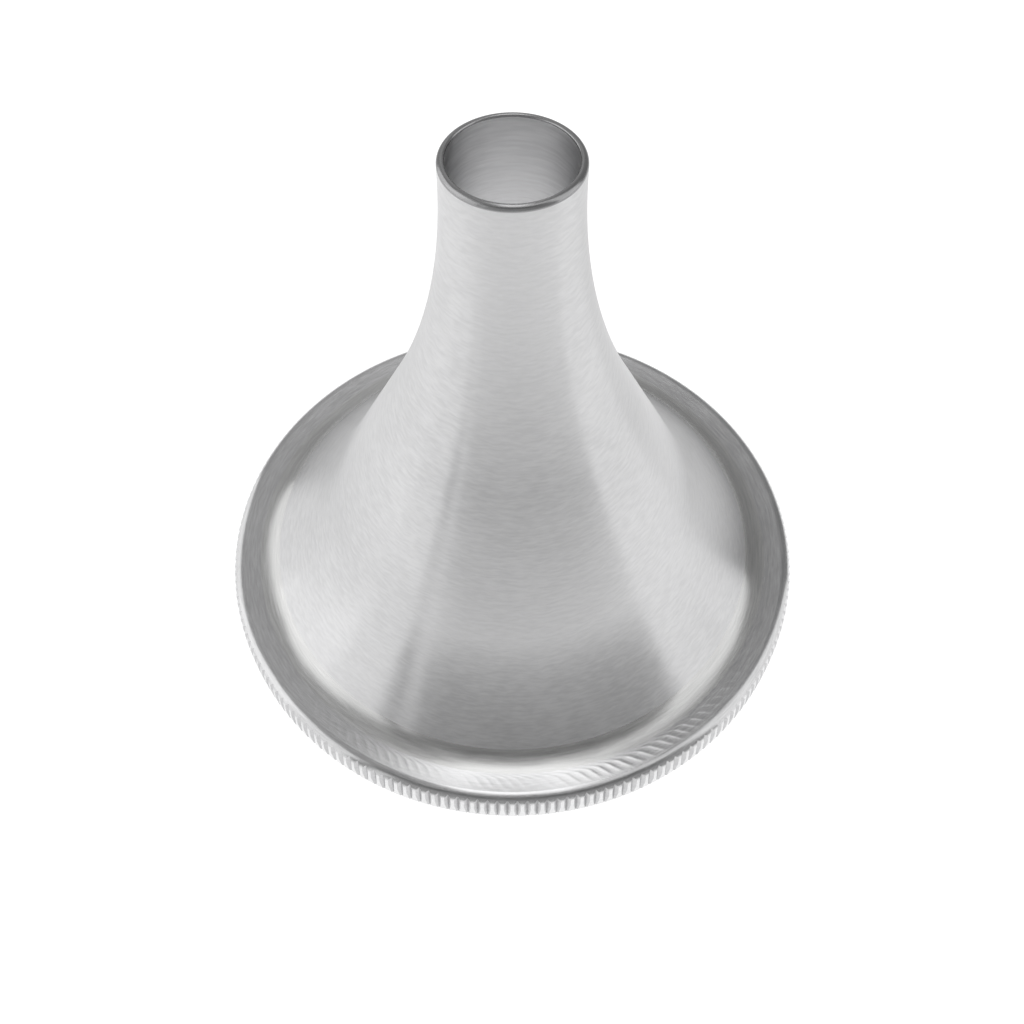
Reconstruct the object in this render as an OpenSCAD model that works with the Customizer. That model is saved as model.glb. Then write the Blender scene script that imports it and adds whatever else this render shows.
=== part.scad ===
// Ear speculum: a spun steel funnel in a turned and knurled rim.
// The rim's foot stands on z = 0 and the funnel's tip points up along +Z.

/* [Funnel] */
// Height from the rim's foot to the top of the tip
overall_h = 35.3; // [32:0.1:40]
// Outer diameter of the tip that enters the ear
tip_d = 7.4; // [5:0.1:9]
// Thickness of the spun sheet
wall = 0.4; // [0.3:0.05:0.5]
// Length of the straight, cylindrical stretch below the tip's edge
tip_land = 0.8; // [0.6:0.1:3]
// Rounding on the inner side of the tip's edge, the rest of the wall rounds outward
lip_in_r = 0.12; // [0.05:0.01:0.2]
// Radius of the hollow curve from the tip into the cone
throat_r = 38; // [30:1:48]
// Radius of the flare between the cone and the rim
flare_r = 16.6; // [12:0.2:20]
// Straight cone that is left at least between the two curves when the funnel gets shorter
cone_min_length = 1; // [0.5:0.5:4]
// Angle between the axis and the funnel's side at the end of the flare
flare_end_angle = 53; // [48:1:60]

/* [Skirt inside the rim] */
// Outer radius of the bend from the flare into the skirt
skirt_bend_r = 1.2; // [0.9:0.05:1.3]
// Height of the skirt's lower edge above the foot
skirt_edge_z = 0.2; // [0.1:0.05:0.4]

/* [Rim] */
// Diameter over the crests of the knurl
rim_d = 41; // [36:0.1:46]
// Width of the rim from its bore to the crests of the knurl
rim_band = 2.95; // [2.5:0.05:3.6]
// Height of the rim at its highest line, the crest
rim_h = 2.35; // [1.9:0.05:2.6]
// Depth of the hollow channel inside the crest
channel_depth = 0.15; // [0.05:0.01:0.3]
// Rounding between the crest and the knurled face
shoulder_r = 0.8; // [0.5:0.05:1]
// Rounding at the lower edge of the rim's bore
bore_edge_r = 0.25; // [0.1:0.05:0.5]
// Chamfer between the knurled face and the foot
foot_chamfer = 0.15; // [0.05:0.05:0.4]

/* [Knurl] */
// Distance between neighbouring ridges around the rim
knurl_pitch = 0.644; // [0.6:0.004:1.2]
// Depth of the grooves at the level of the rim's crest
knurl_depth = 0.32; // [0.15:0.01:0.4]
// Depth of the grooves at the foot, where they run out
knurl_foot_depth = 0.07; // [0.03:0.01:0.3]

/* [Solder] */
// Radius of the dressed fillet between the funnel and the rim
fillet_r = 2.44; // [1.8:0.02:3]
// Width of the soldered joint between the skirt and the rim's bore
joint_gap = 0.05; // [0.03:0.01:0.1]
// Height of the joint's lower end above the foot
joint_end_z = 0.45; // [0.3:0.05:0.6]

/* [Hidden] */

// Segments of a revolved surface and of the short and long arcs in the outlines
$fn = 144;
short_arc_steps = 6;
long_arc_steps = 20;

tip_r = tip_d / 2;
tip_bore_r = tip_r - wall;
lip_out_r = wall - lip_in_r;
land_end_z = overall_h - tip_land;

rim_r = rim_d / 2;
channel_z = rim_h - channel_depth;
bore_r = rim_r - rim_band;
skirt_r = bore_r - joint_gap;

// The flare ends where the skirt's bend and the fillet begin, at one slope for all three
mouth_r = skirt_r - skirt_bend_r * (1 - cos(flare_end_angle));
mouth_z = channel_z + fillet_r * (1 - sin(flare_end_angle));
bend_centre = [skirt_r - skirt_bend_r, mouth_z - skirt_bend_r * sin(flare_end_angle)];
fillet_end_r = mouth_r + fillet_r * cos(flare_end_angle);

// The throat's curve tightens where a short funnel has no room for it above the flare
flare_centre = [mouth_r, mouth_z] + flare_r * [cos(flare_end_angle), sin(flare_end_angle)];
room_x = flare_centre.x - tip_r;
room_z = land_end_z - flare_centre.y;
throat_room_r = (room_x * room_x + room_z * room_z - flare_r * flare_r - cone_min_length * cone_min_length)
    / (2 * (room_x - flare_r));
throat_fit_r = min(throat_r, throat_room_r);

// The cone is the common tangent of the throat's and the flare's circles
throat_centre = [tip_r + throat_fit_r, land_end_z];
centre_step = throat_centre - flare_centre;
radius_step = throat_fit_r - flare_r;
cone_length = sqrt(centre_step * centre_step - radius_step * radius_step);
cone_angle = atan2(-centre_step.x, centre_step.y) + atan2(radius_step, cone_length);

// Rim section
crest_r = rim_r - shoulder_r;
channel_width = crest_r - fillet_end_r;
channel_r = (channel_width * channel_width + channel_depth * channel_depth) / (2 * channel_depth);
channel_end_angle = asin(channel_width / channel_r);
knurl_count = round(PI * rim_d / knurl_pitch);
groove_foot_r = rim_r - knurl_foot_depth;
knurl_taper = (rim_r - knurl_depth) / groove_foot_r;

// The ridges are flat on top at the foot and come to an edge where the shoulder begins
ridge_foot_r = rim_r / (1 + (knurl_taper - 1) * (rim_h - shoulder_r) / rim_h);

// Points on an arc about a centre, from one angle to another
function arc(centre, r, from, to, steps) =
    [for (i = [0:steps]) let (a = from + (to - from) * i / steps) centre + r * [cos(a), sin(a)]];

function reversed(points) = [for (i = [len(points) - 1:-1:0]) points[i]];

// Points of a stretch whose first point the stretch before it already holds
function but_first(points) = [for (i = [1:len(points) - 1]) points[i]];

// Side of the funnel from the tip down to the skirt, moved inward by an offset
function funnel_side(inset) = concat(
    arc(throat_centre, throat_fit_r + inset, 180, 180 + cone_angle, long_arc_steps),
    arc(flare_centre, flare_r + inset, 180 + cone_angle, 180 + flare_end_angle, long_arc_steps),
    but_first(arc(bend_centre, skirt_bend_r - inset, flare_end_angle, 0, short_arc_steps))
);

// The outer side of the bend that the solder lies against, from the skirt up to the flare
function bend_side() = arc(bend_centre, skirt_bend_r, 0, flare_end_angle, short_arc_steps);

module funnel_section() {
    edge_r = wall / 2;
    polygon(concat(
        but_first(arc([tip_r - lip_out_r, overall_h - lip_out_r], lip_out_r, 90, 0, short_arc_steps)),
        funnel_side(0),
        arc([skirt_r - edge_r, skirt_edge_z + edge_r], edge_r, 0, -180, 2 * short_arc_steps),
        reversed(funnel_side(wall)),
        arc([tip_bore_r + lip_in_r, overall_h - lip_in_r], lip_in_r, 180, 90, short_arc_steps)
    ));
}

module rim_section() {
    polygon(concat(
        arc([bore_r + bore_edge_r, bore_edge_r], bore_edge_r, 270, 180, short_arc_steps),
        [[bore_r, channel_z]],
        arc([fillet_end_r, channel_z + channel_r], channel_r, 270, 270 + channel_end_angle, short_arc_steps),
        but_first(arc([crest_r, rim_h - shoulder_r], shoulder_r, 90, 0, short_arc_steps)),
        [[rim_r, foot_chamfer], [rim_r - foot_chamfer, 0]]
    ));
}

// Star outline at the foot with one point for each ridge and one for each groove
module knurl_outline() {
    polygon([for (i = [0:2 * knurl_count - 1])
        let (r = i % 2 == 0 ? ridge_foot_r : groove_foot_r, a = 180 * i / knurl_count)
        r * [cos(a), sin(a)]]);
}

module fillet_section() {
    polygon(concat(
        but_first(arc([fillet_end_r, channel_z + fillet_r], fillet_r,
            180 + flare_end_angle, 270, short_arc_steps)),
        [[bore_r, channel_z], [bore_r, joint_end_z], [skirt_r, joint_end_z]],
        bend_side()
    ));
}

module funnel() {
    color("silver")
        rotate_extrude()
            funnel_section();
}

module rim_ring() {
    color("darkgray")
        intersection() {
            rotate_extrude()
                rim_section();
            linear_extrude(height = rim_h, scale = knurl_taper)
                knurl_outline();
        }
}

module solder_fillet() {
    color("lightgray")
        rotate_extrude()
            fillet_section();
}

funnel();
rim_ring();
solder_fillet();
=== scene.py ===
import math
import bpy
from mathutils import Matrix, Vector


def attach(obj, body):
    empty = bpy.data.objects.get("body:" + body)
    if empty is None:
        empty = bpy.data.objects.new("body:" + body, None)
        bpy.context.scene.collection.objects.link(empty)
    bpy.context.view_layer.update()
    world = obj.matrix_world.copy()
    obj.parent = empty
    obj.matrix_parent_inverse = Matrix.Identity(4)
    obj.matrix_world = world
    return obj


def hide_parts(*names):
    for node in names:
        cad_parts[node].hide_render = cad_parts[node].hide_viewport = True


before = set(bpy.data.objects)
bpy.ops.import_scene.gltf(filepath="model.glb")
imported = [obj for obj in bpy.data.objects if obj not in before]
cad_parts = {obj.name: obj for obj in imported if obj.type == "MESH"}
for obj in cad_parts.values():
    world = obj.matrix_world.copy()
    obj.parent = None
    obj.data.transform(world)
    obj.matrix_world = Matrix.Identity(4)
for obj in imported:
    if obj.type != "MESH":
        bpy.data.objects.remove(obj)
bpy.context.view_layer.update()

scene = bpy.context.scene
mm = 0.001


# Outlines are drawn in the XZ plane in millimetres, then spun round Z

weldGap = {                  # points closer than this become one
    "outline": 0.001,
    "slices": 0.002,
    "ridges": 0.003,
}
startPlane = 0.2             # width of the plane that an outline starts from
slicesRound = 24
zAxis = {"center": (0, 0, 0), "axis": (0, 0, 1)}


def deselectAll():
    bpy.ops.object.select_all(action="DESELECT")


def selectMesh():
    bpy.ops.mesh.select_all(action="SELECT")


def setMode(mode):
    bpy.ops.object.mode_set(mode=mode)


def weldMesh(gap):
    selectMesh()
    bpy.ops.mesh.remove_doubles(threshold=gap * mm)


def applyLast(piece):
    bpy.ops.object.modifier_apply(modifier=piece.modifiers[-1].name)


def startOutline(name, x, z):
    deselectAll()
    bpy.ops.mesh.primitive_plane_add(size=startPlane * mm, location=(x * mm, 0, z * mm))
    piece = bpy.context.object
    piece.name = piece.data.name = name
    bpy.ops.object.transform_apply(location=True, rotation=True, scale=True)
    setMode("EDIT")
    selectMesh()
    bpy.ops.mesh.merge(type="CENTER")  # leaves one vertex to draw from
    return piece


def drawLine(dx, dz):
    bpy.ops.mesh.extrude_region_move(TRANSFORM_OT_translate={"value": (dx * mm, 0, dz * mm)})


def drawArc(centre, degrees, steps):
    bpy.ops.mesh.spin(steps=steps, angle=math.radians(degrees), axis=(0, 1, 0),
                      center=(centre[0] * mm, 0, centre[1] * mm))


def copyRound(copies):
    selectMesh()
    bpy.ops.mesh.spin(steps=copies, angle=math.tau, dupli=True, **zAxis)


def spinRound(columns):
    # one slice is spun and then copied round, which is much quicker than a whole turn
    weldMesh(weldGap["outline"])
    bpy.ops.mesh.spin(steps=columns // slicesRound, angle=math.tau / slicesRound, **zAxis)
    copyRound(slicesRound)
    weldMesh(weldGap["slices"])
    bpy.ops.mesh.normals_make_consistent(inside=False)
    setMode("OBJECT")


def shadeSmooth(piece, degrees):
    deselectAll()
    piece.select_set(True)
    bpy.context.view_layer.objects.active = piece
    bpy.ops.object.shade_smooth_by_angle(angle=math.radians(degrees))


# Funnel, one spun sheet from the lip to the hidden skirt

funnelShape = {
    "height": 35.3,
    "tipRadius": 3.7,
    "wall": 0.4,
    "lipOuter": 0.28,        # rounding on the outer side of the edge
    "lipInner": 0.12,
    "landLength": 0.8,       # straight part below the edge
    "throatRadius": 38.0,
    "flareRadius": 16.6,
    "flareEnd": 53.0,        # degrees from the axis at the rim
    "bendRadius": 1.2,
    "skirtRadius": 17.5,
    "skirtEdge": 0.2,
    "columns": 360,
    "outerEdgeRows": 10,     # faces along the lip's outer rounding and the skirt's edge
    "innerEdgeRows": 6,
    "throatRows": 30,
    "flareRows": 26,
    "bendRows": 8,
    "smoothBelow": 40,       # degrees between faces, above which an edge stays sharp
}
filletShape = {
    "radius": 2.44,
    "jointEnd": 0.45,        # lower end of the soldered gap
    "columns": 360,
    "rows": 12,
    "smoothBelow": 40,
}
rimShape = {
    "radius": 20.5,
    "bore": 17.55,
    "height": 2.35,
    "channelDepth": 0.05,
    "shoulder": 0.8,
    "boreEdge": 0.25,
    "chamfer": 0.15,
    "footSplit": 19.9,       # where the knurled band meets the turned body
    "ridges": 200,
    "columnsPerRidge": 6,
    "channelRows": 28,
    "shoulderRows": 8,
    "boreEdgeRows": 6,
    "smoothBelow": 25,
}

channelZ = rimShape["height"] - rimShape["channelDepth"]
tipR, wall = funnelShape["tipRadius"], funnelShape["wall"]
throatR, flareR = funnelShape["throatRadius"], funnelShape["flareRadius"]
skirtR, bendR = funnelShape["skirtRadius"], funnelShape["bendRadius"]
endCos = math.cos(math.radians(funnelShape["flareEnd"]))
endSin = math.sin(math.radians(funnelShape["flareEnd"]))
mouth = (skirtR - bendR * (1 - endCos), channelZ + filletShape["radius"] * (1 - endSin))
bendCentre = (skirtR - bendR, mouth[1] - bendR * endSin)

# the cone is the common tangent of the throat's and the flare's circles
throatCentre = (tipR + throatR, funnelShape["height"] - funnelShape["landLength"])
flareCentre = (mouth[0] + flareR * endCos, mouth[1] + flareR * endSin)
stepX, stepZ = throatCentre[0] - flareCentre[0], throatCentre[1] - flareCentre[1]
radiusStep = throatR - flareR
coneLength = math.sqrt(stepX ** 2 + stepZ ** 2 - radiusStep ** 2)
coneTurn = math.atan2(-stepX, stepZ) + math.atan2(radiusStep, coneLength)
coneAngle = math.degrees(coneTurn)
coneStep = (math.sin(coneTurn) * coneLength, -math.cos(coneTurn) * coneLength)


def makeFunnel():
    f = funnelShape
    top = f["height"]
    flareTurn = f["flareEnd"] - coneAngle
    edge = wall / 2
    piece = startOutline("spunFunnel", tipR - f["lipOuter"], top)
    drawArc((tipR - f["lipOuter"], top - f["lipOuter"]), -90, f["outerEdgeRows"])
    drawLine(0, throatCentre[1] - (top - f["lipOuter"]))
    drawArc(throatCentre, coneAngle, f["throatRows"])
    drawLine(*coneStep)
    drawArc(flareCentre, flareTurn, f["flareRows"])
    drawArc(bendCentre, -f["flareEnd"], f["bendRows"])
    drawLine(0, f["skirtEdge"] + edge - bendCentre[1])
    drawArc((skirtR - edge, f["skirtEdge"] + edge), -180, f["outerEdgeRows"])
    # and back up the inside
    drawLine(0, bendCentre[1] - f["skirtEdge"] - edge)
    drawArc(bendCentre, f["flareEnd"], f["bendRows"])
    drawArc(flareCentre, -flareTurn, f["flareRows"])
    drawLine(-coneStep[0], -coneStep[1])
    drawArc(throatCentre, -coneAngle, f["throatRows"])
    drawLine(0, top - f["lipInner"] - throatCentre[1])
    drawArc((tipR - wall + f["lipInner"], top - f["lipInner"]), -90, f["innerEdgeRows"])
    spinRound(f["columns"])
    shadeSmooth(piece, f["smoothBelow"])
    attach(piece, "root")
    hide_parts("funnel")
    return piece


funnel = makeFunnel()
print("funnel spun,", len(funnel.data.polygons), "faces")


# Solder fillet, dressed to a hollow curve between the flare and the channel

filletEnd = mouth[0] + filletShape["radius"] * endCos


def makeFillet():
    f = filletShape
    piece = startOutline("solderFillet", mouth[0], mouth[1])
    drawArc((filletEnd, channelZ + f["radius"]), 90 - funnelShape["flareEnd"], f["rows"])
    drawLine(rimShape["bore"] - filletEnd, 0)
    drawLine(0, f["jointEnd"] - channelZ)
    drawLine(skirtR - rimShape["bore"], 0)
    drawLine(0, bendCentre[1] - f["jointEnd"])
    drawArc(bendCentre, funnelShape["flareEnd"], funnelShape["bendRows"])
    spinRound(f["columns"])
    shadeSmooth(piece, f["smoothBelow"])
    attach(piece, "root")
    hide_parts("solder_fillet")
    return piece


fillet = makeFillet()
print("fillet made,", len(fillet.data.polygons), "faces")


# Rim: one ridge of the knurl is cut from a thin slice, mirrored and copied round,
# then the turned body is joined to it

ridgeCuts = {
    "grooveTop": 0.32,       # depth of the grooves at the crest's level
    "grooveFoot": 0.07,      # and at the foot, where they run out
    "turnAt": 0.34,          # share of the half pitch where a ridge's side turns steep
    "turnDepth": 0.045,      # how far the side has dropped there
}
chatter = {
    "count": 150,            # ripples round the channel
    "bunch": 12,             # radians that they gather by where they are highest
    "height": 0.0075,
    "sharpness": 3,          # power that narrows the crests
    "innerEnd": 18.38,
    "outerEnd": 19.62,
    "onlyAbove": 1.0,        # keeps the foot flat
    "fade": 0.7,             # power of the fade towards both ends
    "lean": 3.0,             # degrees that a ripple trails behind for each millimetre inward
    "curlFrom": 18.90,
    "curl": 18,              # and more, with the square of the distance, inside of that radius
    "unevenness": 0.9,       # radians that single ripples stand out of step
    "unevenCount": 19,
    "strongAt": -54,         # degrees round from +X where they are highest
    "focus": 5,              # power of the fall in height to both sides of it
    "quiet": 0.20,           # share of the height where they are lowest
}

crestR = rimShape["radius"] - rimShape["shoulder"]
channelWidth = crestR - filletEnd
channelR = (channelWidth ** 2 + rimShape["channelDepth"] ** 2) / (2 * rimShape["channelDepth"])
channelAngle = math.degrees(math.asin(channelWidth / channelR))
halfRidge = math.radians(180 / rimShape["ridges"])
onPlane = 1e-7               # metres off a plane that still count as on it
straightOn = 0.9             # cosine past which a face looks straight that way


def cutBeyond(nearPoint, farPoint):
    # both points are (distance round from the ridge, depth at the foot)
    # the cut leans inward towards the top, as far as the grooves deepen
    lean = ridgeCuts["grooveTop"] - ridgeCuts["grooveFoot"]
    upPoint = (nearPoint[0], nearPoint[1] + lean)
    spots = []
    for (along, depth), z in ((nearPoint, 0), (farPoint, 0), (upPoint, rimShape["height"])):
        turn = along / rimShape["radius"]
        r = rimShape["radius"] - depth
        spots.append(Vector((r * math.cos(turn), r * math.sin(turn), z)) * mm)
    outward = (spots[1] - spots[0]).cross(spots[2] - spots[0]).normalized()
    selectMesh()
    bpy.ops.mesh.bisect(plane_co=spots[0], plane_no=outward, use_fill=True,
                        clear_outer=True, threshold=onPlane)


def makeKnurl():
    r, top = rimShape["radius"], rimShape["height"]
    shoulder, chamfer = rimShape["shoulder"], rimShape["chamfer"]
    piece = startOutline("knurledRim", crestR, top)
    drawArc((crestR, top - shoulder), -90, rimShape["shoulderRows"])
    drawLine(0, chamfer - (top - shoulder))
    drawLine(-chamfer, -chamfer)
    drawLine(rimShape["footSplit"] - (r - chamfer), 0)
    selectMesh()
    bpy.ops.mesh.edge_face_add()
    # spin turns clockwise, so the slice grows towards +Y with a negative angle
    bpy.ops.mesh.spin(steps=rimShape["columnsPerRidge"] // 2, angle=-halfRidge, **zAxis)
    selectMesh()
    bpy.ops.mesh.normals_make_consistent(inside=False)
    # a ridge has no flat left where the shoulder begins, so the cuts start proud of it at the foot
    halfPitch = math.pi * r / rimShape["ridges"]
    rise = (ridgeCuts["grooveTop"] - ridgeCuts["grooveFoot"]) * (1 - shoulder / top)
    turnPoint = (halfPitch * ridgeCuts["turnAt"], ridgeCuts["turnDepth"] - rise)
    cutBeyond((0, -rise), turnPoint)
    cutBeyond(turnPoint, (halfPitch, ridgeCuts["grooveFoot"]))

    # the slice's two ends and its inner side go, so that only the outside is left
    bpy.ops.mesh.select_all(action="DESELECT")
    setMode("OBJECT")
    endNormal = Vector((-math.sin(halfRidge), math.cos(halfRidge), 0))
    for face in piece.data.polygons:
        corners = [piece.data.vertices[i].co for i in face.vertices]
        atStart = all(abs(c.y) < onPlane for c in corners)
        atEnd = all(abs(c.dot(endNormal)) < onPlane for c in corners)
        inside = face.normal.x < -straightOn
        face.select = atStart or atEnd or inside
    setMode("EDIT")
    bpy.ops.mesh.select_mode(type="FACE")
    bpy.ops.mesh.delete(type="FACE")
    bpy.ops.mesh.select_mode(type="VERT")
    setMode("OBJECT")
    bpy.ops.object.modifier_add(type="MIRROR")
    mirror = piece.modifiers[-1]
    mirror.use_axis = (False, True, False)
    mirror.merge_threshold = weldGap["outline"] * mm
    applyLast(piece)
    print("one ridge has", len(piece.data.polygons), "faces")

    setMode("EDIT")
    copyRound(rimShape["ridges"])
    weldMesh(weldGap["ridges"])
    setMode("OBJECT")
    return piece


def makeRimBody():
    bore, boreEdge = rimShape["bore"], rimShape["boreEdge"]
    piece = startOutline("rimBody", crestR, rimShape["height"])
    drawArc((filletEnd, channelZ + channelR), -channelAngle, rimShape["channelRows"])
    drawLine(bore - filletEnd, 0)
    drawLine(0, boreEdge - channelZ)
    drawArc((bore + boreEdge, boreEdge), 90, rimShape["boreEdgeRows"])
    drawLine(rimShape["footSplit"] - bore - boreEdge, 0)
    spinRound(rimShape["ridges"] * rimShape["columnsPerRidge"])
    return piece


def addChatter(piece):
    # each point of the channel gets its share of the height, then all are lifted along Z
    c = chatter
    group = piece.vertex_groups.new(name="chatter")
    for v in piece.data.vertices:
        r = math.hypot(v.co.x, v.co.y) / mm
        if not c["innerEnd"] < r < c["outerEnd"] or v.co.z < c["onlyAbove"] * mm:
            continue
        turn = math.degrees(math.atan2(v.co.y, v.co.x))
        inward = (c["outerEnd"] - r) / (c["outerEnd"] - c["innerEnd"])
        beside = math.radians(turn - c["strongAt"])
        trail = c["lean"] * (c["outerEnd"] - r) + c["curl"] * max(0, c["curlFrom"] - r) ** 2
        phase = math.radians(c["count"] * (turn + trail)) + c["bunch"] * math.sin(beside)
        phase += c["unevenness"] * math.sin(c["unevenCount"] * beside)
        wave = (0.5 + 0.5 * math.cos(phase)) ** c["sharpness"]
        drift = c["quiet"] + (1 - c["quiet"]) * max(0, math.cos(beside)) ** c["focus"]
        fade = math.sin(math.pi * inward) ** c["fade"]
        group.add([v.index], wave * fade * drift, "REPLACE")
    bpy.ops.object.modifier_add(type="DISPLACE")
    lift = piece.modifiers[-1]
    lift.direction = "Z"
    lift.mid_level = 0
    lift.strength = c["height"] * mm
    lift.vertex_group = group.name
    applyLast(piece)
    piece.vertex_groups.clear()


def makeRim():
    knurl = makeKnurl()
    body = makeRimBody()
    deselectAll()
    body.select_set(True)
    knurl.select_set(True)
    bpy.context.view_layer.objects.active = knurl
    bpy.ops.object.join()
    setMode("EDIT")
    weldMesh(weldGap["ridges"])
    bpy.ops.mesh.normals_make_consistent(inside=False)
    setMode("OBJECT")
    addChatter(knurl)
    shadeSmooth(knurl, rimShape["smoothBelow"])
    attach(knurl, "root")
    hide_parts("rim_ring")
    return knurl


rim = makeRim()
print("rim turned and knurled,", len(rim.data.polygons), "faces")


# Steel finishes: short strokes round the axis over soft clouds, in tone, roughness and bump; the
# lip, the inside and the ridges' sides are darker or lighter copies of the steel, as painted shade
# or painted light

grain = {                    # the same for all of them
    "swayScale": 0.9,        # how often the strokes wander, per millimetre
    "swayDetail": 1,
    "strokeDetail": 1.5,
    "noiseRoughness": 0.55,
    "fineLength": 0.4,       # finer strokes, as a share of the main ones
    "fineWidth": 0.5,
    "fineDetail": 2,
    "fineShare": 0.2,        # of all the strokes
    "cloudDetail": 3,
    "cloudShare": 0.3,       # of strokes and clouds together
    "darkest": 0.38,         # levels of the noise that give the full dark and light
    "lightest": 0.62,
    "glossTurn": 0.25,       # a quarter turn from the tangent
}
brushedLook = {
    "dark": (0.625, 0.625, 0.63),
    "light": (0.725, 0.725, 0.73),
    "roughness": (0.275, 0.325),
    "anisotropy": 0.9,
    "strokeLength": 0.9,     # millimetres, as all widths and depths here
    "strokeWidth": 0.26,
    "wander": 0.45,
    "cloudScale": 0.25,      # clouds per millimetre
    "scratchDepth": 0.0005,
}
# Lighter copy of the steel for the inside: its long turned strokes are real grain, its raised tone
# is painted light
insidePaintedLightLook = {
    "dark": (0.63, 0.63, 0.635),
    "light": (0.77, 0.77, 0.775),
    "roughness": (0.32, 0.40),
    "anisotropy": 0.85,
    "strokeLength": 2.0,
    "strokeWidth": 0.20,
    "wander": 0.2,
    "cloudScale": 0.3,
    "scratchDepth": 0.002,
}
# Darker copy of the steel for the lip's rounded edge: painted shade, standing in for a dark
# reflection band and dimming the edge's highlight
lipShadeLook = {
    "dark": (0.36, 0.36, 0.365),
    "light": (0.45, 0.45, 0.455),
    "roughness": (0.24, 0.28),
    "anisotropy": 0.7,
    "strokeLength": 2.0,
    "strokeWidth": 0.06,
    "wander": 0.1,
    "cloudScale": 0.3,
    "scratchDepth": 0.0002,
}
rimLook = {
    "dark": (0.60, 0.60, 0.605),
    "light": (0.70, 0.70, 0.705),
    "roughness": (0.18, 0.22),
    "anisotropy": 0.92,
    "strokeLength": 1.2,
    "strokeWidth": 0.10,
    "wander": 0.1,
    "cloudScale": 0.4,
    "scratchDepth": 0.0004,
}
# Darker copy of the steel for the knurl ridges' sides: painted shade in the grooves between the
# ridges; the higher roughness is their duller finish
grooveShadeLook = {
    "dark": (0.43, 0.43, 0.435),
    "light": (0.55, 0.55, 0.555),
    "roughness": (0.30, 0.40),
    "anisotropy": 0.5,
    "strokeLength": 0.5,
    "strokeWidth": 0.20,
    "wander": 0.3,
    "cloudScale": 0.6,
    "scratchDepth": 0.001,
}
solderLook = {
    "dark": (0.61, 0.61, 0.605),
    "light": (0.70, 0.70, 0.695),
    "roughness": (0.22, 0.26),
    "anisotropy": 0.92,
    "strokeLength": 2.0,
    "strokeWidth": 0.14,
    "wander": 0.2,
    "cloudScale": 0.3,
    "scratchDepth": 0.0001,
}
flankTurn = 0.5              # sine of the turn from outward past which a face is a ridge's side and gets the painted groove shade


def newFinish(name):
    material = bpy.data.materials.new(name)
    material.use_nodes = True
    tree = material.node_tree
    return material, tree.nodes, tree.links, tree.nodes["Principled BSDF"]


def mathNode(nodes, links, operation, first, second):
    node = nodes.new("ShaderNodeMath")
    node.operation = operation
    for socket, value in zip(node.inputs, (first, second)):
        if isinstance(value, (int, float)):
            socket.default_value = value
        else:
            links.new(value, socket)
    return node.outputs[0]


def mixNode(nodes, links, first, second, secondShare):
    return mathNode(nodes, links, "ADD",
                    mathNode(nodes, links, "MULTIPLY", first, 1 - secondShare),
                    mathNode(nodes, links, "MULTIPLY", second, secondShare))


def noiseNode(nodes, links, place, scale, detail):
    noise = nodes.new("ShaderNodeTexNoise")
    noise.inputs["Scale"].default_value = scale
    noise.inputs["Detail"].default_value = detail
    links.new(place, noise.inputs["Vector"])
    return noise


def strokeNoise(nodes, links, length, width, detail, wander):
    # noise drawn out round the axis: long in x and y, narrow down the side, wandering a little
    coords = nodes.new("ShaderNodeTexCoord")
    scaled = nodes.new("ShaderNodeMapping")
    scaled.inputs["Scale"].default_value = (1 / mm,) * 3
    links.new(coords.outputs["Object"], scaled.inputs["Vector"])
    parts = nodes.new("ShaderNodeSeparateXYZ")
    links.new(scaled.outputs["Vector"], parts.inputs["Vector"])
    flat = nodes.new("ShaderNodeCombineXYZ")
    links.new(parts.outputs["X"], flat.inputs["X"])
    links.new(parts.outputs["Y"], flat.inputs["Y"])
    radius = nodes.new("ShaderNodeVectorMath")
    radius.operation = "LENGTH"
    links.new(flat.outputs["Vector"], radius.inputs[0])
    sway = noiseNode(nodes, links, scaled.outputs["Vector"],
                     grain["swayScale"], grain["swayDetail"])
    swayed = mathNode(nodes, links, "MULTIPLY", sway.outputs["Fac"], wander)
    down = mathNode(nodes, links, "SUBTRACT", parts.outputs["Z"], radius.outputs["Value"])
    down = mathNode(nodes, links, "ADD", down, swayed)
    drawn = nodes.new("ShaderNodeCombineXYZ")
    links.new(mathNode(nodes, links, "DIVIDE", parts.outputs["X"], length), drawn.inputs["X"])
    links.new(mathNode(nodes, links, "DIVIDE", parts.outputs["Y"], length), drawn.inputs["Y"])
    links.new(mathNode(nodes, links, "DIVIDE", down, width), drawn.inputs["Z"])
    noise = noiseNode(nodes, links, drawn.outputs["Vector"], 1, detail)
    noise.inputs["Roughness"].default_value = grain["noiseRoughness"]
    return noise.outputs["Fac"]


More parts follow.
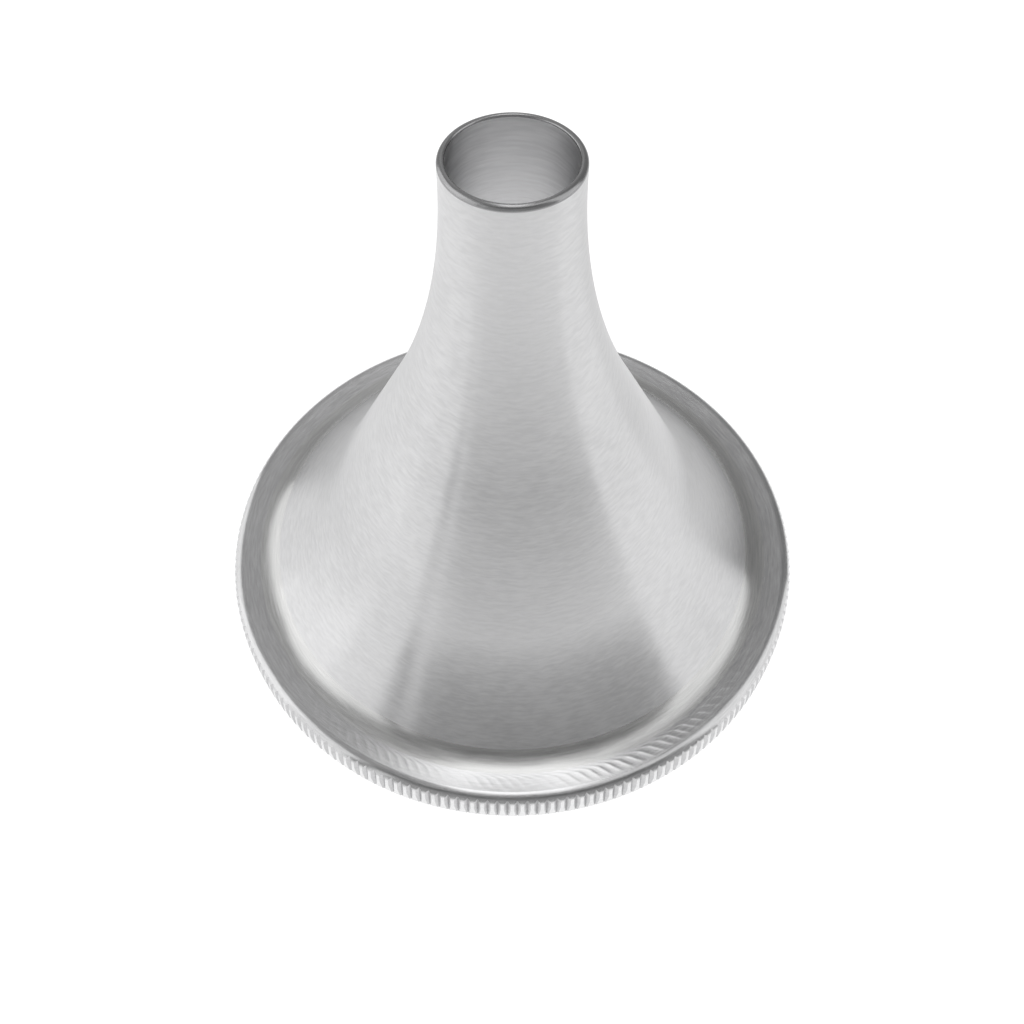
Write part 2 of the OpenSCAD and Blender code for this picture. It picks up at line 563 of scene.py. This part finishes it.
def steelFinish(name, look):
    material, nodes, links, shader = newFinish(name)
    shader.inputs["Metallic"].default_value = 1
    shader.inputs["Anisotropic"].default_value = look["anisotropy"]
    shader.inputs["Anisotropic Rotation"].default_value = grain["glossTurn"]
    around = nodes.new("ShaderNodeTangent")
    around.direction_type = "RADIAL"
    around.axis = "Z"
    links.new(around.outputs["Tangent"], shader.inputs["Tangent"])

    length, width = look["strokeLength"], look["strokeWidth"]
    main = strokeNoise(nodes, links, length, width, grain["strokeDetail"], look["wander"])
    fine = strokeNoise(nodes, links, length * grain["fineLength"], width * grain["fineWidth"],
                       grain["fineDetail"], -look["wander"])
    strokes = mixNode(nodes, links, main, fine, grain["fineShare"])
    coords = nodes.new("ShaderNodeTexCoord")
    clouds = noiseNode(nodes, links, coords.outputs["Object"], look["cloudScale"] / mm,
                       grain["cloudDetail"])
    tone = mixNode(nodes, links, strokes, clouds.outputs["Fac"], grain["cloudShare"])

    colours = nodes.new("ShaderNodeValToRGB")
    levels = ((grain["darkest"], look["dark"]), (grain["lightest"], look["light"]))
    for element, (level, colour) in zip(colours.color_ramp.elements, levels):
        element.position = level
        element.color = (*colour, 1)
    links.new(tone, colours.inputs["Fac"])
    links.new(colours.outputs["Color"], shader.inputs["Base Color"])

    rough = nodes.new("ShaderNodeMapRange")
    rough.inputs["From Min"].default_value = grain["darkest"]
    rough.inputs["From Max"].default_value = grain["lightest"]
    rough.inputs["To Min"].default_value = look["roughness"][0]
    rough.inputs["To Max"].default_value = look["roughness"][1]
    links.new(tone, rough.inputs["Value"])
    links.new(rough.outputs["Result"], shader.inputs["Roughness"])

    bump = nodes.new("ShaderNodeBump")
    bump.inputs["Strength"].default_value = 1
    bump.inputs["Distance"].default_value = look["scratchDepth"] * mm
    links.new(strokes, bump.inputs["Height"])
    links.new(bump.outputs["Normal"], shader.inputs["Normal"])
    return material


def addFinishes(piece, looks):
    for name, look in looks.items():
        piece.data.materials.append(steelFinish(name, look))


def outwardFrom(point):
    return Vector((point.x, point.y, 0)).normalized()


addFinishes(funnel, {"brushedOutside": brushedLook, "turnedInsidePaintedLight": insidePaintedLightLook,
                     "polishedLipPaintedShade": lipShadeLook})
lipStart = (funnelShape["height"] - funnelShape["lipOuter"]) * mm
for face in funnel.data.polygons:
    if face.center.z > lipStart:
        face.material_index = 2  # lip, darker steel: painted shade
    elif face.normal.dot(outwardFrom(face.center)) < 0:
        face.material_index = 1  # inside, lighter steel: its turned grain is real, its raised tone is painted light
addFinishes(rim, {"turnedRim": rimLook, "dullGroovePaintedShade": grooveShadeLook})
for face in rim.data.polygons:
    turned = abs(outwardFrom(face.center).cross(face.normal).z) > flankTurn
    if turned and face.center.length > crestR * mm:
        face.material_index = 1  # ridge's side, darker steel: painted shade
addFinishes(fillet, {"dressedSolder": solderLook})
print("finishes assigned")


# Studio, in metres: white table that the metal sees with a painted pool of light and a painted
# shadow ring, grey room, soft boxes at both sides, above and behind

table = {
    "size": 1.6,
    "colour": 0.3,
    "glow": 0.94,            # seen directly
    "mirrored": 1.18,        # seen in the metal only, at the centre of a painted pool of light
    "paintedPoolCentre": (0.004, 0.0),
    "tones": [               # (distance from the painted pool's centre, share of its painted glow: a painted shadow ring from 33 to 45 mm, then a painted fall-off)
        (0, 1.0), (0.026, 1.0), (0.033, 0.68), (0.045, 0.68), (0.054, 1.0),
        (0.115, 0.32), (0.2, 0.32),
    ],
}
standingBoxes = {            # turned so many degrees round from the front, standing on the table
    "leftBox": {"turn": -88, "away": 0.26, "width": 0.145, "height": 0.34, "radiance": 0.92},
    "leftEdgeBox": {"turn": -61, "away": 0.26, "width": 0.106, "height": 0.30, "radiance": 0.69},
    "leftBackBox": {"turn": -118, "away": 0.27, "width": 0.145, "height": 0.22, "radiance": 0.78},
    "rightBox": {"turn": 78, "away": 0.26, "width": 0.130, "height": 0.33, "radiance": 0.72},
    "rightBackBox": {"turn": 100, "away": 0.26, "width": 0.074, "height": 0.33, "radiance": 0.81},
}
highBoxes = {
    "overheadBox": {"place": (0, 0.0575, 0.30), "target": (0, 0.0575, 0),
                    "width": 0.07, "height": 0.185, "radiance": 1.35},
    "highRightBox": {"place": (0.169, 0.0, 0.417), "target": (0, 0, 0),
                     "width": 0.18, "height": 0.26, "radiance": 0.64},
}
roomTones = [                # (degrees round from the front, strength)
    (-180, 0.50), (-165, 0.46), (-150, 0.38), (-110, 0.40), (-52, 0.36), (-50.5, 0.34),
    (-45, 0.34), (-43.5, 0.92), (-39.5, 0.92), (-38, 0.46), (-26, 0.40), (0, 0.37),
    (60, 0.37), (105, 0.28), (120, 0.24), (160, 0.30), (172, 0.42), (180, 0.50),
]
darkWall = {                 # unlit part of the room, high in front
    "turns": (-58, -48, 54, 66),
    "heights": (39, 46, 58, 67),  # degrees above the horizon
    "share": 0.75,           # of the light that is missing there
}
photoView = {
    "place": (-0.000023, -0.0421, 0.06709),
    "tilt": 34.14,           # degrees up from straight down
    "sensor": 36,
    "lens": 36.65,
    "nearest": 0.001,
    "farthest": 10,
}


def addLamp(name, place, target, box):
    bpy.ops.object.light_add(type="AREA", location=place)
    lamp = bpy.context.object
    lamp.name = lamp.data.name = name
    lamp.data.shape = "RECTANGLE"
    lamp.data.size = box["width"]
    lamp.data.size_y = box["height"]
    lamp.data.energy = box["radiance"] * math.pi * box["width"] * box["height"]
    lamp.rotation_euler = (Vector(target) - lamp.location).to_track_quat("-Z", "Y").to_euler()


def addLamps():
    deselectAll()
    for name, box in standingBoxes.items():
        turn = math.radians(box["turn"])
        middle = box["height"] / 2
        place = (math.sin(turn) * box["away"], -math.cos(turn) * box["away"], middle)
        addLamp(name, place, (0, 0, middle), box)
    for name, box in highBoxes.items():
        addLamp(name, box["place"], box["target"], box)


def rampNode(nodes, links, value, stops):
    ramp = nodes.new("ShaderNodeValToRGB")
    elements = ramp.color_ramp.elements
    for position, tone in stops[1:-1]:
        elements.new(position)
    for element, (position, tone) in zip(elements, stops):
        element.position = position
        element.color = (tone, tone, tone, 1)
    links.new(value, ramp.inputs["Fac"])
    return ramp.outputs["Color"]


def whiteTable():
    material, nodes, links, shader = newFinish("whiteTable")
    nodes.remove(shader)
    paint = nodes.new("ShaderNodeBsdfDiffuse")
    paint.inputs["Color"].default_value = (table["colour"],) * 3 + (1,)
    glow = nodes.new("ShaderNodeEmission")
    # Painted light: for rays off the metal the table glows in a pool round the object, with a
    # painted shadow ring in it
    coords = nodes.new("ShaderNodeTexCoord")
    away = nodes.new("ShaderNodeVectorMath")
    away.operation = "DISTANCE"
    away.inputs[1].default_value = (*table["paintedPoolCentre"], 0)
    links.new(coords.outputs["Object"], away.inputs[0])
    reach = table["tones"][-1][0]
    share = rampNode(nodes, links,
                     mathNode(nodes, links, "DIVIDE", away.outputs["Value"], reach),
                     [(distance / reach, tone) for distance, tone in table["tones"]])
    path = nodes.new("ShaderNodeLightPath")
    mirrored = mathNode(nodes, links, "MAXIMUM",
                        path.outputs["Is Glossy Ray"], path.outputs["Is Transmission Ray"])
    mirrored = mathNode(nodes, links, "MULTIPLY", mirrored,
                        mathNode(nodes, links, "MULTIPLY", share, table["mirrored"]))
    direct = mathNode(nodes, links, "MULTIPLY", path.outputs["Is Camera Ray"], table["glow"])
    links.new(mathNode(nodes, links, "MAXIMUM", mirrored, direct), glow.inputs["Strength"])
    both = nodes.new("ShaderNodeAddShader")
    links.new(paint.outputs["BSDF"], both.inputs[0])
    links.new(glow.outputs["Emission"], both.inputs[1])
    links.new(both.outputs["Shader"], nodes["Material Output"].inputs["Surface"])
    return material


def turnShare(degrees):
    return (degrees + 180) / 360


def riseAndFall(places):
    tones = (0, 1, 1, 0)
    return [(0, 0)] + list(zip(places, tones)) + [(1, 0)]


def makeRoom():
    world = bpy.data.worlds.new("greyRoom")
    scene.world = world
    world.use_nodes = True
    nodes, links = world.node_tree.nodes, world.node_tree.links
    coords = nodes.new("ShaderNodeTexCoord")
    parts = nodes.new("ShaderNodeSeparateXYZ")
    links.new(coords.outputs["Generated"], parts.inputs["Vector"])
    front = mathNode(nodes, links, "MULTIPLY", parts.outputs["Y"], -1)
    turn = mathNode(nodes, links, "ARCTAN2", parts.outputs["X"], front)
    turn = mathNode(nodes, links, "DIVIDE", turn, math.tau)
    turn = mathNode(nodes, links, "ADD", turn, turnShare(0))
    wall = rampNode(nodes, links, turn, [(turnShare(degrees), tone) for degrees, tone in roomTones])
    inFront = rampNode(nodes, links, turn, riseAndFall([turnShare(t) for t in darkWall["turns"]]))
    highUp = rampNode(nodes, links, parts.outputs["Z"],
                      riseAndFall([math.sin(math.radians(h)) for h in darkWall["heights"]]))
    dark = mathNode(nodes, links, "MULTIPLY", inFront, highUp)
    dark = mathNode(nodes, links, "MULTIPLY", dark, darkWall["share"])
    lit = mathNode(nodes, links, "SUBTRACT", 1, dark)
    background = nodes["Background"]
    links.new(mathNode(nodes, links, "MULTIPLY", wall, lit), background.inputs["Strength"])
    background.inputs["Color"].default_value = (1, 1, 1, 1)


addLamps()
bpy.ops.mesh.primitive_plane_add(size=table["size"], location=(0, 0, 0))
floor = bpy.context.object
floor.name = "tableTop"
floor.data.materials.append(whiteTable())
makeRoom()

bpy.ops.object.camera_add(location=photoView["place"],
                          rotation=(math.radians(photoView["tilt"]), 0, 0))
camera = bpy.context.object
camera.name = "photoCamera"
camera.data.sensor_width = photoView["sensor"]
camera.data.lens = photoView["lens"]
camera.data.clip_start = photoView["nearest"]
camera.data.clip_end = photoView["farthest"]
scene.camera = camera
scene.view_settings.view_transform = "Standard"
print("studio lit")
